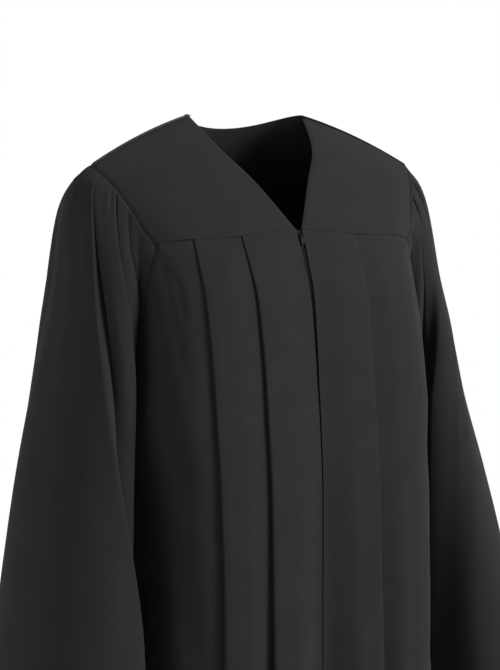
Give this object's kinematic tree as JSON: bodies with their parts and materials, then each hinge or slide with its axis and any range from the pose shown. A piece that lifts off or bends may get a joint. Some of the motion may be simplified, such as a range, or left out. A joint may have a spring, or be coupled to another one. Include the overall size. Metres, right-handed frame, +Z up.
{
  "type": "choir robe",
  "caption": "Worn hollow choir robe with an open V neck, pleated front and back under yokes, wide bell sleeves and a front zip.",
  "frame": {"origin": "midway between the two points where the shoulder seams meet the neck, where the wearer's shoulders hold the robe", "axes": "+Z up, the front faces -Y, the wearer's left is +X"},
  "size_m": [0.6864, 0.4075, 1.2006],
  "materials": {
    "robe_cloth": "matte black plain-weave polyester",
    "zip_tape": "black woven zip tape",
    "zip_metal": "black enamelled zinc"
  },
  "bodies": {
    "robe": {"front_left": "robe_cloth", "front_right": "robe_cloth", "back": "robe_cloth", "yoke_front_left": "robe_cloth", "yoke_front_right": "robe_cloth", "yoke_back": "robe_cloth", "sleeve_left": "robe_cloth", "sleeve_right": "robe_cloth", "zip_tape_left": "zip_tape", "zip_tape_right": "zip_tape", "zip_slider": "zip_metal"},
    "pull_tab": {"zip_pull_tab": "zip_metal"}
  },
  "joints": [
    {"name": "pull_tab_swing", "type": "hinge", "parent": "robe", "child": "pull_tab", "pos_m": [0, -0.12662, -0.13767], "axis": [-1, 0, 0], "range_deg": [0, 150]}
  ]
}
